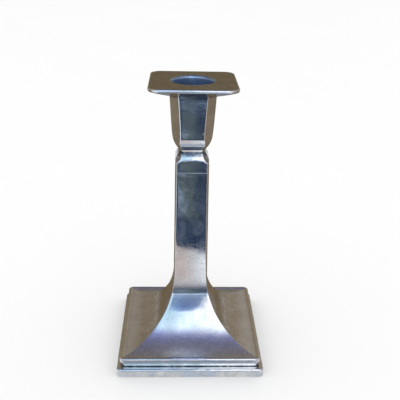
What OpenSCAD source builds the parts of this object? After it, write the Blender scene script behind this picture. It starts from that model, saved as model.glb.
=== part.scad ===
// Silver candlestick. A square stepped foot sweeps up into a slender square stem, which carries
// an octagonal socket. A nozzle with a square drip pan sits loose in the socket and lifts out.
// The thin silver skin is filled with cement and held together by a rod with a nut at each end.
// Millimetres, +Z up, origin at the centre of the foot's underside.

/* [Heights] */
// Height of the drip pan's top above the table
total_h = 160; // [158:0.5:166]
// Height of the joint between the shoulder and the socket
neck_z = 121.8; // [120.5:0.1:123]
// Height of the seam between the stem and the shoulder cap
seam_z = 111; // [100:0.5:114]
// Height at which the foot's sweep has become the stem
sweep_top_z = 45.5; // [40:0.5:52]

/* [Foot] */
// Width of the square foot rim
foot_w = 83.2; // [82:0.1:92]
// Height of the foot rim
foot_h = 5; // [4.5:0.1:5.4]
// Radius of the foot rim's upright corners
foot_corner_r = 1.8; // [0.5:0.1:4]
// Width of the lip moulding that stands on the foot rim
lip_w = 79.6; // [79:0.1:80.4]
// Height of the top of the lip moulding
lip_top_z = 10.9; // [10.7:0.05:11.2]
// Depth of the groove under the lip
groove_depth = 1.1; // [0.5:0.1:2]
// Radius of the lip moulding's upright corners
lip_corner_r = 2.2; // [0.5:0.1:3]

/* [Stem] */
// Width of the stem where the sweep ends
stem_low_w = 19.4; // [17:0.1:21]
// Width of the stem where the shoulder begins to round over
stem_top_w = 18.5; // [17:0.1:19.4]
// Thickness of the silver skin
skin_t = 0.8; // [0.5:0.1:1.2]
// Radius of the shoulder's rounding
shoulder_r = 6; // [5:0.1:7]

/* [Socket] */
// Radius of the bulge between the socket's tapered underside and its side
bulge_r = 13; // [11:0.5:15]
// Clearance between the nozzle's sleeve and the socket's bore, on the radius
nozzle_clearance = 0.05; // [0.02:0.01:0.09]

/* [Nozzle] */
// Diameter of the hole for the candle
candle_d = 22; // [20:0.1:22.2]
// Thickness of the nozzle's sleeve
sleeve_t = 0.35; // [0.3:0.05:0.4]
// Depth of the nozzle, from the pan's top to the floor that the candle stands on
nozzle_depth = 16.6; // [12:0.1:17]
// Width of the square drip pan
pan_w = 46.9; // [44:0.1:52]
// Thickness of the drip pan at its rim
pan_rim_t = 2.1; // [1.5:0.1:2.5]
// Radius of the drip pan's upright corners
pan_corner_r = 6; // [3:0.5:8]

/* [Inside] */
// Diameter of the tie rod
rod_d = 5; // [4:0.5:6]
// Thickness of the baize pad under the foot
baize_t = 0.9; // [0.5:0.1:1]
// Thickness of the closing plate
plate_t = 1; // [0.6:0.1:1]

/* [Hidden] */
$fn = 96;

// Colours
silver = "#b9bcc2";
silver_shade = "#a9adb5";
silver_light = "#c9ccd1";
iron = "#6d6a66";
cement = "#cfc8b8";
baize = "#2f5a3c";

// Sweep: a quarter of an ellipse, from the flat of the foot up to the side of the stem
sweep_foot_z = 10.5;
sweep_inset = 0.9;
sweep_centre = [lip_w / 2 - sweep_inset, sweep_top_z];
sweep_a = sweep_centre[0] - stem_low_w / 2;
sweep_b = sweep_top_z - sweep_foot_z;
sweep_steps = 18;
lip_band = 2.4;
panel_ledge = 1;
panel_edge = lip_w / 2 - lip_band;
filling_edge = panel_edge - panel_ledge;
panel_edge_angle = acos((sweep_centre[0] - panel_edge) / sweep_a);

// Lip moulding: the groove's height and rounding, and the lip's rounding
joint_gap = 0.05;
groove_h = 2.5;
groove_round = 0.45;
lip_slope_h = 0.5;
lip_round = 0.8;
lip_round_in = 0.3;
lip_round_drop = 0.2;

// Foot rim: its wall around the closing plate and the baize pad
rim_wall = 1.55;
baize_gap = 0.25;

// Shoulder: an arc from the upright stem over to the neck
shoulder_turn = 55;
shoulder_steps = 8;
shoulder_lead = 1.5;
shoulder_z = neck_z - shoulder_r * sin(shoulder_turn);
neck_half = stem_top_w / 2 - shoulder_r * (1 - cos(shoulder_turn));
shoulder_top_t = 1.2;

// Socket: a short neck, a tapered underside, a bulge, a nearly upright side and a flared rim
neck_h = 1.7;
neck_lean = 5;
side_lean = 4;
taper_lean = 41;
taper_h = 1.1;
bulge_steps = 8;
flare_h = 3;
flare_lean = 20;
flare_steps = 4;
taper_z = neck_z + neck_h;
taper_half = neck_half + neck_h * tan(neck_lean);
bulge_z = taper_z + taper_h;
bulge_half = taper_half + taper_h * tan(taper_lean);
side_z = bulge_z + bulge_r * (sin(taper_lean) - sin(side_lean));
side_half = bulge_half + bulge_r * (cos(side_lean) - cos(taper_lean));

// Drip pan: a level edge, a rolled lower edge and an underside that slopes down to the socket
pan_slope = 22.5;
pan_edge_t = 0.9;
pan_roll = 1.2;
pan_edge_in = 0.2;
pan_edge_facet = 0.62 * pan_corner_r;
seat_half = 13.4;
seat_facet = 4.8;
seat_gap = 0.05;
seat_z = total_h - pan_rim_t - (pan_w / 2 - pan_roll - seat_half) * tan(pan_slope);
socket_top_z = seat_z - seat_gap;
flare_z = socket_top_z - flare_h;
flare_r = flare_h / (sin(flare_lean) - sin(side_lean));
flare_half = side_half + (flare_z - side_z) * tan(side_lean);

// Nozzle
candle_r = candle_d / 2;
sleeve_r = candle_r + sleeve_t;
mouth_r = 1.35;
mouth_steps = 6;
sleeve_end_z = total_h - nozzle_depth;
floor_t = 0.8;
floor_room = 0.8;
socket_bore_r = sleeve_r + nozzle_clearance;
socket_bore_end_z = sleeve_end_z - floor_t - floor_room;

// Rod, nuts and washers
rod_r = rod_d / 2;
rod_gap = 0.05;
rod_end = 0.6;
nut_flats = 1.6 * rod_d;
nut_h = 0.8 * rod_d;
nut_r = nut_flats / 2 / cos(30);
washer_r = 1.2 * rod_d;
washer_t = 1.2;
well_r = 8;
well_floor_z = neck_z + 9.2;
filling_floor_z = baize_t + plate_t;
recess_top_z = filling_floor_z + rod_end + nut_h + washer_t;

// Width of the corner facets, from the foot up to the neck and from the neck to the rim
foot_facet = 0.35;
stem_facets = [
    [sweep_top_z, foot_facet],
    [seam_z, 0.9],
    [shoulder_z - shoulder_lead, 0.95],
    [shoulder_z + 0.5, 1.3],
    [shoulder_z + 2.1, 2.4],
    [neck_z - 1.4, 2.1],
    [neck_z, 1.2],
];
socket_facets = [
    [neck_z, 1.2],
    [taper_z, 1.2],
    [taper_z + 1.2, 1.7],
    [taper_z + 3.5, 2.6],
    [taper_z + 6.5, 4],
    [taper_z + 10.5, 4.6],
    [socket_top_z, seat_facet],
];

// Size of the tools that cut right through a piece, and how far they overrun it
big = 200;
over = 1;

// One level of a shape with a square plan and corner facets: height, half width, facet
function level(z, half, facets) = [z, half, lookup(z, facets)];

// The eight corners of one level, anticlockwise from above
function ring(r) =
    let (z = r[0], w = r[1], s = r[1] - r[2])
    [[s, -w, z], [w, -s, z], [w, s, z], [s, w, z], [-s, w, z], [-w, s, z], [-w, -s, z], [-s, -w, z]];

// A solid through a list of levels, lowest first
module loft(levels) {
    last = len(levels) - 1;
    sides = [
        for (i = [0 : last - 1], j = [0 : 7])
            let (a = 8 * i + j, b = 8 * i + (j + 1) % 8)
            [a, a + 8, b + 8, b]
    ];
    ends = [[for (j = [0 : 7]) j], [for (j = [7 : -1 : 0]) 8 * last + j]];
    polyhedron(points = [for (r = levels) each ring(r)], faces = concat(ends, sides));
}

// A square with rounded corners, from true arcs
module rounded_square(w, r) {
    square([w, w - 2 * r], center = true);
    square([w - 2 * r, w], center = true);
    for (x = [-1, 1], y = [-1, 1])
        translate([x * (w / 2 - r), y * (w / 2 - r)])
            circle(r);
}

// A solid with a sharp square plan whose half width follows an outline of [half width, height]
module square_turned(outline) {
    mirrored = [for (i = [len(outline) - 1 : -1 : 0]) [-outline[i][0], outline[i][1]]];
    section = concat(outline, mirrored);
    intersection() {
        rotate([90, 0, 0])
            linear_extrude(big, center = true)
                polygon(section);
        rotate([90, 0, 90])
            linear_extrude(big, center = true)
                polygon(section);
    }
}

// One point of the sweep, moved inwards by t: height and half width
function sweep_point(angle, t) =
    let (nx = cos(angle) / sweep_a, nz = sin(angle) / sweep_b, n = norm([nx, nz]))
    [
        sweep_centre[1] - sweep_b * sin(angle) - t * nz / n,
        sweep_centre[0] - sweep_a * cos(angle) - t * nx / n,
    ];

// Levels of the sweep and the stem up to the seam, t inside the outer face
function stem_half(z) =
    stem_low_w / 2 + (stem_top_w - stem_low_w) / 2 * (z - sweep_top_z) / (shoulder_z - sweep_top_z);
function stem_levels(t, first_angle) = concat(
    [
        for (i = [0 : sweep_steps])
            let (p = sweep_point(first_angle * (1 - i / sweep_steps), t))
            level(p[0], p[1], stem_facets)
    ],
    [level(seam_z, stem_half(seam_z) - t, stem_facets)]
);

// Levels of the shoulder cap, t inside the outer face
function shoulder_levels(t) = concat(
    [level(seam_z, stem_half(seam_z) - t, stem_facets)],
    [level(shoulder_z - shoulder_lead, stem_half(shoulder_z - shoulder_lead) - t, stem_facets)],
    [
        for (i = [0 : shoulder_steps])
            let (a = shoulder_turn * i / shoulder_steps)
            level(
                shoulder_z + (shoulder_r - t) * sin(a),
                stem_top_w / 2 - shoulder_r + (shoulder_r - t) * cos(a),
                stem_facets
            )
    ]
);

// Levels of the socket's outer face
function socket_levels() = concat(
    [level(neck_z, neck_half, socket_facets), level(taper_z, taper_half, socket_facets)],
    [
        for (i = [0 : bulge_steps])
            let (a = taper_lean + (side_lean - taper_lean) * i / bulge_steps)
            level(
                bulge_z + bulge_r * (sin(taper_lean) - sin(a)),
                bulge_half + bulge_r * (cos(a) - cos(taper_lean)),
                socket_facets
            )
    ],
    [
        for (i = [0 : flare_steps])
            let (a = side_lean + (flare_lean - side_lean) * i / flare_steps)
            level(
                flare_z + flare_r * (sin(a) - sin(side_lean)),
                flare_half + flare_r * (cos(side_lean) - cos(a)),
                socket_facets
            )
    ]
);

// The outline of the candle mouth at a distance t behind its face: radius and height
function mouth_arc(t) = [
    for (i = [0 : mouth_steps])
        let (a = 90 * i / mouth_steps)
        [candle_r + mouth_r - (mouth_r - t) * cos(a), total_h - mouth_r + (mouth_r - t) * sin(a)]
];

// Drip pan: a flat square plate, rounded under its edge, whose underside slopes to the socket
module nozzle_pan() {
    color(silver_light)
        difference() {
            union() {
                translate([0, 0, total_h - pan_edge_t])
                    linear_extrude(pan_edge_t)
                        rounded_square(pan_w, pan_corner_r);
                loft([
                    [seat_z, seat_half, seat_facet],
                    [total_h - pan_rim_t, pan_w / 2 - pan_roll, pan_edge_facet],
                    [total_h - pan_edge_t, pan_w / 2 - pan_edge_in, pan_edge_facet],
                    [total_h - pan_edge_t / 2, pan_w / 2 - pan_edge_in, pan_edge_facet],
                ]);
            }
            rotate_extrude()
                polygon(concat(
                    [[0, seat_z - over], [sleeve_r, seat_z - over]],
                    mouth_arc(sleeve_t),
                    [[candle_r + mouth_r, total_h + over], [0, total_h + over]]
                ));
        }
}

// Sleeve: a thin tube soldered into the pan, with its mouth rolled over
module nozzle_sleeve() {
    inner = mouth_arc(0);
    outer = mouth_arc(sleeve_t);
    color(silver)
        rotate_extrude()
            polygon(concat(
                [[candle_r, sleeve_end_z]],
                inner,
                [for (i = [mouth_steps : -1 : 0]) outer[i]],
                [[sleeve_r, sleeve_end_z]]
            ));
}

// Floor: a disc soldered across the end of the sleeve, on which the candle stands
module nozzle_floor() {
    color(silver_shade)
        translate([0, 0, sleeve_end_z - floor_t])
            cylinder(h = floor_t, r = sleeve_r);
}

// Socket: octagonal outside, bored for the nozzle, with a well for the upper nut
module socket_cup() {
    color(silver)
        difference() {
            loft(socket_levels());
            translate([0, 0, socket_bore_end_z])
                cylinder(h = big, r = socket_bore_r);
            translate([0, 0, well_floor_z])
                cylinder(h = big, r = well_r);
            translate([0, 0, neck_z - over])
                cylinder(h = big, r = rod_r + rod_gap);
        }
}

// Shoulder cap: the rounded top of the stem, above the seam
module shoulder_cap() {
    color(silver)
        difference() {
            loft(shoulder_levels(0));
            loft(cavity_levels());
            cylinder(h = big, r = rod_r + rod_gap);
        }
}

// The inside of the shoulder cap, closed below its top plate and open at the seam
function cavity_levels() = concat(
    [[seam_z - over, stem_half(seam_z) - skin_t, lookup(seam_z, stem_facets)]],
    [for (r = shoulder_levels(skin_t)) if (r[0] < neck_z - shoulder_top_t) r]
);

// One of the four skins that meet along the corners, from the lip up to the seam
module stem_panel(turn) {
    outer = stem_levels(0, panel_edge_angle);
    inner = stem_levels(skin_t, panel_edge_angle);
    low = inner[0];
    high = inner[len(inner) - 1];
    color(silver)
        rotate([0, 0, turn])
            intersection() {
                difference() {
                    loft(concat([[low[0], outer[0][1], outer[0][2]]], outer));
                    loft(concat(
                        [[low[0] - over, low[1], low[2]]],
                        inner,
                        [[seam_z + over, high[1], high[2]]]
                    ));
                }
                linear_extrude(big)
                    polygon([[0, 0], [-big, -big], [big, -big]]);
            }
}
module stem_panel_front() { stem_panel(0); }
module stem_panel_right() { stem_panel(90); }
module stem_panel_back() { stem_panel(180); }
module stem_panel_left() { stem_panel(270); }

// Lip moulding: a drawn square frame with a groove below a rounded lip
module lip_moulding() {
    half = lip_w / 2;
    shelf_z = sweep_foot_z - skin_t - joint_gap;
    groove_half = half - groove_depth;
    groove_top_z = foot_h + groove_h;
    color(silver_light)
        difference() {
            intersection() {
                square_turned([
                    [groove_half + groove_round, foot_h],
                    [groove_half, foot_h + groove_round],
                    [groove_half, groove_top_z - groove_round],
                    [groove_half + groove_round, groove_top_z],
                    [half, groove_top_z + lip_slope_h],
                    [half, lip_top_z - lip_round],
                    [half - lip_round_in, lip_top_z - lip_round_drop],
                    [half - lip_round, lip_top_z],
                    [half - 2 * lip_round + lip_round_in, lip_top_z - lip_round_drop],
                    [panel_edge - joint_gap, sweep_foot_z + joint_gap],
                ]);
                linear_extrude(big)
                    rounded_square(lip_w + 2 * joint_gap, lip_corner_r);
            }
            translate([0, 0, big / 2 + shelf_z])
                cube([2 * panel_edge, 2 * panel_edge, big], center = true);
            cube([2 * filling_edge, 2 * filling_edge, big], center = true);
        }
}

// Foot rim: the square step that stands on the table, recessed below for the closing plate
module foot_rim() {
    recess_w = foot_w - 2 * rim_wall;
    color(silver_light)
        difference() {
            linear_extrude(foot_h)
                rounded_square(foot_w, foot_corner_r);
            cube([recess_w, recess_w, 2 * filling_floor_z], center = true);
            cube([2 * filling_edge, 2 * filling_edge, big], center = true);
        }
}

// Closing plate: shuts the foot under the filling
module closing_plate() {
    w = foot_w - 2 * (rim_wall + joint_gap);
    color(iron)
        translate([-w / 2, -w / 2, baize_t])
            cube([w, w, plate_t]);
}

// Baize pad: glued to the closing plate, level with the foot rim
module baize_pad() {
    w = foot_w - 2 * (rim_wall + baize_gap);
    color(baize)
        translate([-w / 2, -w / 2, 0])
            cube([w, w, baize_t]);
}

// Cement filling: fills the foot, the stem and the shoulder, and keeps a recess for the lower nut
module cement_filling() {
    stem = stem_levels(skin_t, panel_edge_angle);
    shoulder = [for (r = cavity_levels()) if (r[0] > seam_z) r];
    color(cement)
        difference() {
            intersection() {
                loft(concat([[filling_floor_z, stem[0][1], foot_facet]], stem, shoulder));
                cube([2 * filling_edge, 2 * filling_edge, 2 * big], center = true);
            }
            cylinder(h = big, r = rod_r + rod_gap);
            cylinder(h = recess_top_z, r = well_r);
        }
}

// Tie rod: runs from the recess in the foot to the well in the socket
module tie_rod() {
    low = filling_floor_z + rod_end / 2;
    high = well_floor_z + washer_t + nut_h + rod_end;
    color(iron)
        translate([0, 0, low])
            cylinder(h = high - low, r = rod_r);
}

// Nuts: one on each end of the tie rod
module rod_nuts() {
    lower = recess_top_z - washer_t - nut_h;
    upper = well_floor_z + washer_t;
    color(iron)
        for (z = [lower, upper])
            translate([0, 0, z])
                difference() {
                    cylinder(h = nut_h, r = nut_r, $fn = 6);
                    translate([0, 0, -over])
                        cylinder(h = big, r = rod_r + rod_gap);
                }
}

// Washers: one under each nut
module rod_washers() {
    color(iron)
        for (z = [recess_top_z - washer_t, well_floor_z])
            translate([0, 0, z])
                difference() {
                    cylinder(h = washer_t, r = washer_r);
                    translate([0, 0, -over])
                        cylinder(h = big, r = rod_r + 2 * rod_gap);
                }
}

nozzle_pan();
nozzle_sleeve();
nozzle_floor();
socket_cup();
shoulder_cap();
stem_panel_front();
stem_panel_right();
stem_panel_back();
stem_panel_left();
lip_moulding();
foot_rim();
closing_plate();
baize_pad();
cement_filling();
tie_rod();
rod_nuts();
rod_washers();
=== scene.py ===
import math

import bmesh
import bpy
from mathutils import Matrix, Vector, noise


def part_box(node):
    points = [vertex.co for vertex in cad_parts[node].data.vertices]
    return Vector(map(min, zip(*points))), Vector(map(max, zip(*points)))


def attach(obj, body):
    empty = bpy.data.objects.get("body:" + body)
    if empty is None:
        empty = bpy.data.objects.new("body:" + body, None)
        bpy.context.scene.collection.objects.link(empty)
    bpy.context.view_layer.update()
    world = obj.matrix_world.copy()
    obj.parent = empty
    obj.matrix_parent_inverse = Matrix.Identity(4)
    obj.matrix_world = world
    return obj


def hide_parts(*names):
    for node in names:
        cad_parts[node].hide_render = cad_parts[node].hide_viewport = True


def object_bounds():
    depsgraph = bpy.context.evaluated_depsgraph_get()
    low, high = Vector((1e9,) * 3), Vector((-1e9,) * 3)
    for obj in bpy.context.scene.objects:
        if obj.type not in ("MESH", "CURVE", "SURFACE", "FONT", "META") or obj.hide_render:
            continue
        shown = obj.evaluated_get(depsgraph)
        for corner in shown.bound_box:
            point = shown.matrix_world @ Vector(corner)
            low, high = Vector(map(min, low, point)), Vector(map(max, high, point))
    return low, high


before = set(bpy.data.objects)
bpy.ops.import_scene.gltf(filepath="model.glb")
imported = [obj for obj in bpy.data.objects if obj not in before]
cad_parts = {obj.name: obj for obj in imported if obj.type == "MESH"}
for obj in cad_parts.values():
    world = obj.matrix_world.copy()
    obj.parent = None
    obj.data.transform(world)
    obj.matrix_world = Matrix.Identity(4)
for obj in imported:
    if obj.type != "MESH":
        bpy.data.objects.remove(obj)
CAD_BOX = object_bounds()
MM = 0.001

# ---------------------------------------------------------------- sizes, in mm, as in the CAD frame
# Outer sizes and levels, from the CAD pieces
TOTAL_H = CAD_BOX[1][2] / MM
FOOT_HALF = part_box("foot_rim")[1].x / MM
FOOT_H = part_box("foot_rim")[1].z / MM
LIP_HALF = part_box("lip_moulding")[1].x / MM
LIP_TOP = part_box("lip_moulding")[1].z / MM
SEAM_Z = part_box("shoulder_cap")[0].z / MM
NECK_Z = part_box("socket_cup")[0].z / MM
SOCKET_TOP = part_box("socket_cup")[1].z / MM
PAN_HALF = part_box("nozzle_pan")[1].x / MM
SEAT_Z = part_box("nozzle_pan")[0].z / MM
SLEEVE_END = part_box("nozzle_sleeve")[0].z / MM

# The stem, and the hollow sweep at its foot, which is part of an ellipse
STEM_LOW_HALF = 9.7
STEM_TOP_HALF = 9.25
STEM_TOP_Z = 118.9
SWEEP_TOP = 45.5
SWEEP_CENTRE = LIP_HALF - 0.9
SWEEP_A = SWEEP_CENTRE - STEM_LOW_HALF
SWEEP_B = SWEEP_TOP - 10.5
# Thickness of the sheet
SKIN = 0.8

# The panels end at PANEL_EDGE, inside the lip. The opening in the lip and the foot is LEDGE from the axis
PANEL_EDGE = LIP_HALF - 2.4
LEDGE = PANEL_EDGE - 1
LEDGE_TOP = 9.66

# The nozzle, and the hollows under it
CANDLE_R = 11.0
SLEEVE_WALL = 0.35
SLEEVE_R = CANDLE_R + SLEEVE_WALL
BORE_R = 11.4
MOUTH_R = 1.35
MOUTH_OUT = CANDLE_R + MOUTH_R
ROD_HOLE = 2.55
WELL_R = 8.0
WELL_FLOOR = NECK_Z + 9.2


# ---------------------------------------------------------------- outlines
def lookup(table, x):
    """Straight-line value of a table of (x, y) pairs."""
    if x <= table[0][0]:
        return table[0][1]
    for (x0, y0), (x1, y1) in zip(table, table[1:]):
        if x <= x1:
            return y0 + (y1 - y0) * (x - x0) / (x1 - x0)
    return table[-1][1]


def smooth_lookup(table, x):
    """As lookup, with a smooth curve through the points."""
    if x <= table[0][0]:
        return table[0][1]
    if x >= table[-1][0]:
        return table[-1][1]
    xs = [point[0] for point in table]
    ys = [point[1] for point in table]
    slopes = []
    for i in range(len(xs)):
        before, after = max(i - 1, 0), min(i + 1, len(xs) - 1)
        slopes.append((ys[after] - ys[before]) / (xs[after] - xs[before]))
    i = next(k for k in range(len(xs) - 1) if x <= xs[k + 1])
    width = xs[i + 1] - xs[i]
    t = (x - xs[i]) / width
    return (
        (2 * t**3 - 3 * t**2 + 1) * ys[i]
        + (t**3 - 2 * t**2 + t) * width * slopes[i]
        + (3 * t**2 - 2 * t**3) * ys[i + 1]
        + (t**3 - t**2) * width * slopes[i + 1]
    )


def between(a, b, steps):
    """The steps - 1 points that divide the line from a to b."""
    points = []
    for k in range(1, steps):
        t = k / steps
        points.append((a[0] + (b[0] - a[0]) * t, a[1] + (b[1] - a[1]) * t))
    return points


def fillet(points, radii, arc_steps, closed=True):
    """A polygon's points with each corner rounded, arc_steps + 1 points to a corner.
    A radius is cut down where the sides are too short for it. An open line keeps its two ends."""
    rounded = []
    n = len(points)
    for i, p in enumerate(points):
        if not closed and i in (0, n - 1):
            rounded.append(tuple(p))
            continue
        p, before, after = Vector(p), Vector(points[i - 1]), Vector(points[(i + 1) % n])
        a, b = before - p, after - p
        turn = math.pi - a.angle(b)
        reach = radii[i] * math.tan(turn / 2)
        limit = 0.45 * min(a.length, b.length)
        radius = radii[i] * min(1.0, limit / reach) if reach > 0 else 0.0
        reach = min(reach, limit)
        a.normalize()
        b.normalize()
        centre = p + (a + b).normalized() * (radius / math.cos(turn / 2))
        start = p + a * reach - centre
        side = 1.0 if a.x * b.y - a.y * b.x < 0 else -1.0
        for k in range(arc_steps + 1):
            t = side * turn * k / arc_steps
            c, s = math.cos(t), math.sin(t)
            rounded.append((centre.x + c * start.x - s * start.y, centre.y + s * start.x + c * start.y))
    return rounded


def divide_flats(points, arc_steps, flat_steps):
    """Divides the flat after each rounded corner of a closed outline. flat_steps holds the numbers
    of steps, which the flats use in turn."""
    per_corner = arc_steps + 1
    corners = len(points) // per_corner
    divided = []
    for corner in range(corners):
        first, end = corner * per_corner, (corner + 1) * per_corner
        divided += points[first:end]
        divided += between(points[end - 1], points[end % len(points)], flat_steps[corner % len(flat_steps)])
    return divided


def square_ring(half, radius, arc_steps, flat_steps):
    """A square plan with rounded corners."""
    corners = [(half, -half), (half, half), (-half, half), (-half, -half)]
    return divide_flats(fillet(corners, [radius] * 4, arc_steps), arc_steps, [flat_steps])


def facet_ring(half, facet, radius, arc_steps):
    """A square plan with a flat facet across each corner, and every edge rounded."""
    facet_steps, flat_steps = 4, 10
    s = half - facet
    corners = [
        (s, -half), (half, -s), (half, s), (s, half), (-s, half), (-half, s), (-half, -s), (-s, -half),
    ]
    return divide_flats(fillet(corners, [radius] * 8, arc_steps), arc_steps, [facet_steps, flat_steps])


def circle_ring(like, radius):
    """A circle with a point in the direction of each point of another ring."""
    return [(radius * x / math.hypot(x, y), radius * y / math.hypot(x, y)) for x, y in like]


# ---------------------------------------------------------------- meshes
def mesh_object(name, verts, faces, smooth_angle):
    """A mesh from points in mm, smooth where its faces meet at less than smooth_angle degrees."""
    mesh = bpy.data.meshes.new(name)
    mesh.from_pydata([(x * MM, y * MM, z * MM) for x, y, z in verts], [], faces)
    bm = bmesh.new()
    bm.from_mesh(mesh)
    bmesh.ops.recalc_face_normals(bm, faces=bm.faces)
    bm.to_mesh(mesh)
    bm.free()
    mesh.shade_smooth()
    mesh.set_sharp_from_angle(angle=math.radians(smooth_angle))
    obj = bpy.data.objects.new(name, mesh)
    bpy.context.scene.collection.objects.link(obj)
    return obj


def torus_of_rings(name, rings, smooth_angle):
    """A closed ring-shaped piece: each ring is (z, points), and the last joins the first."""
    n = len(rings[0][1])
    verts = [(x, y, z) for z, ring in rings for x, y in ring]
    faces = []
    for i in range(len(rings)):
        a, b = i * n, ((i + 1) % len(rings)) * n
        for j in range(n):
            k = (j + 1) % n
            faces.append((a + j, a + k, b + k, b + j))
    return mesh_object(name, verts, faces, smooth_angle)


def ripple(point, height, wave):
    """The gentle unevenness of hand-finished sheet, in mm: a wave, and a shorter and lower one."""
    at = Vector(point) / wave
    return height * noise.noise(at) + 0.35 * height * noise.noise(at * 2.7 + Vector((11, 3, 7)))


def wear_edge(obj, beyond, low, high, stretch, height, wave):
    """Draws outer faces in unevenly: those beyond a distance from the middle, between two levels.
    A stretch below 1 lengthens the ripple upwards."""
    for v in obj.data.vertices:
        x, y, z = v.co / MM
        if low < z < high:
            push = abs(ripple((x, y, z * stretch), height, wave)) * MM
            v.co.x -= math.copysign(push, x) if abs(x) > beyond else 0
            v.co.y -= math.copysign(push, y) if abs(y) > beyond else 0


# ---------------------------------------------------------------- drip pan and sleeve
def mouth_arc(radius, steps):
    """The quarter round of the sleeve's mouth, from the bore up to the pan's top: (r, z) points."""
    arc = []
    for k in range(steps + 1):
        a = math.pi / 2 * k / steps
        arc.append((MOUTH_OUT - radius * math.cos(a), TOTAL_H - MOUTH_R + radius * math.sin(a)))
    return arc


def make_pan():
    """The square pan: a flat top, a rounded edge, and an underside that slopes in to its seat."""
    corner = 6.0
    top_round, side, low_round = 0.85, 0.25, 0.9
    low_turn = math.radians(66)
    flat_inset, dip = 3.0, 0.02
    seat_half = 13.3
    arc_steps, flat_steps, edge_steps, slope_steps = 10, 22, 6, 6

    def square(half, radius):
        return square_ring(half, radius, arc_steps, flat_steps)

    def outline(inset):
        """The pan's plan, drawn in by inset, with a tighter corner the further in it is."""
        return square(PAN_HALF - inset, max(corner - 0.75 * inset, 1.6))

    rings = []
    # The top runs from the round mouth out to the square edge, and dips a little at the mouth
    round_hole, square_flat = circle_ring(outline(0), MOUTH_OUT), outline(flat_inset)
    for t in (0, 0.25, 0.5, 0.75, 1):
        blended = []
        for (x0, y0), (x1, y1) in zip(round_hole, square_flat):
            blended.append((x0 + (x1 - x0) * t, y0 + (y1 - y0) * t))
        rings.append((TOTAL_H - dip * (1 - t), blended))
    rings.append((TOTAL_H, outline(flat_inset / 2)))
    # The edge: a round, a short upright side and a round that stops at the slope
    for k in range(edge_steps + 1):
        a = math.pi / 2 * k / edge_steps
        rings.append((TOTAL_H - top_round * (1 - math.cos(a)), outline(top_round * (1 - math.sin(a)))))
    low_start = TOTAL_H - top_round - side
    for k in range(edge_steps + 1):
        a = low_turn * k / edge_steps
        rings.append((low_start - low_round * math.sin(a), outline(low_round * (1 - math.cos(a)))))
    slope_half = PAN_HALF - low_round * (1 - math.cos(low_turn))
    slope_z = low_start - low_round * math.sin(low_turn)
    for k in range(1, slope_steps + 1):
        t = k / slope_steps
        half = slope_half + (seat_half - slope_half) * t
        radius = max(5.4 - 0.5 * (PAN_HALF - half), 3.4)
        rings.append((slope_z + (SEAT_Z - slope_z) * t, square(half, radius)))
    # The hole, around the sleeve
    rings.append((SEAT_Z, circle_ring(outline(0), SLEEVE_R)))
    for r, z in mouth_arc(MOUTH_R - SLEEVE_WALL, steps=5):
        rings.append((z, circle_ring(outline(0), r)))

    pan = torus_of_rings("drip_pan", rings, smooth_angle=35)
    # The flat top has sunk unevenly, between the mouth and the edge
    flat_start, flat_end = MOUTH_OUT + 0.6, PAN_HALF - 1.2
    for v in pan.data.vertices:
        x, y, z = v.co / MM
        if z > TOTAL_H - 0.1 and flat_start < max(abs(x), abs(y)) < flat_end:
            v.co.z -= abs(ripple((x, y, 0), height=0.10, wave=13)) * MM
    return pan


def make_sleeve():
    """The round tube with its rolled mouth."""
    steps = 72
    middle = SLEEVE_END + 7
    outline = [(CANDLE_R, SLEEVE_END), (CANDLE_R, middle)]
    outline += mouth_arc(MOUTH_R, steps=8)
    outline += reversed(mouth_arc(MOUTH_R - SLEEVE_WALL, steps=8))
    outline += [(SLEEVE_R, middle), (SLEEVE_R, SLEEVE_END)]
    turns = [2 * math.pi * j / steps for j in range(steps)]
    rings = [(z, [(r * math.cos(t), r * math.sin(t)) for t in turns]) for r, z in outline]
    return torus_of_rings("nozzle_tube", rings, smooth_angle=50)


# ---------------------------------------------------------------- socket and shoulder
# Half width across the flats, and how far each corner is cut back, by height
SOCKET_HALF = [
    (NECK_Z, 6.45), (122.2, 6.55), (122.8, 6.72), (123.3, 6.88), (123.5, 6.98), (124.0, 7.34),
    (124.7, 7.90), (125.7, 8.62), (126.7, 9.22), (127.7, 9.73), (128.6, 10.12), (129.4, 10.42),
    (129.9, 10.58), (130.3, 10.67), (131.0, 10.78), (132.2, 10.93), (135.2, 11.22), (139.65, 11.55),
    (144.6, 11.87), (149.5, 12.16), (152.4, 12.34), (153.4, 12.45), (SOCKET_TOP, 12.60),
]
SOCKET_FACET = [
    (NECK_Z, 1.2), (123.5, 1.2), (124.7, 1.7), (127.0, 2.6), (129.9, 4.0), (134.0, 4.6), (147.0, 4.75),
    (SOCKET_TOP, 4.7),
]
SHOULDER_LOW_HALF = 9.27
SHOULDER_ROUND_Z = 116.0
SHOULDER_HALF = [
    (SEAM_Z, 9.21), (SEAM_Z + 0.07, SHOULDER_LOW_HALF), (114.0, 9.26), (SHOULDER_ROUND_Z, 9.245),
    (117.4, 9.24), (118.1, 9.225), (118.6, 9.17), (118.9, 9.04), (119.3, 8.82), (119.8, 8.52),
    (120.3, 8.18), (120.8, 7.80), (121.3, 7.35), (NECK_Z, 6.80),
]
SHOULDER_FACET = [
    (SEAM_Z, 0.95), (SHOULDER_ROUND_Z, 0.98), (117.2, 1.25), (118.0, 1.8), (119.0, 2.35), (120.4, 2.1),
    (NECK_Z, 1.3),
]


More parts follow.
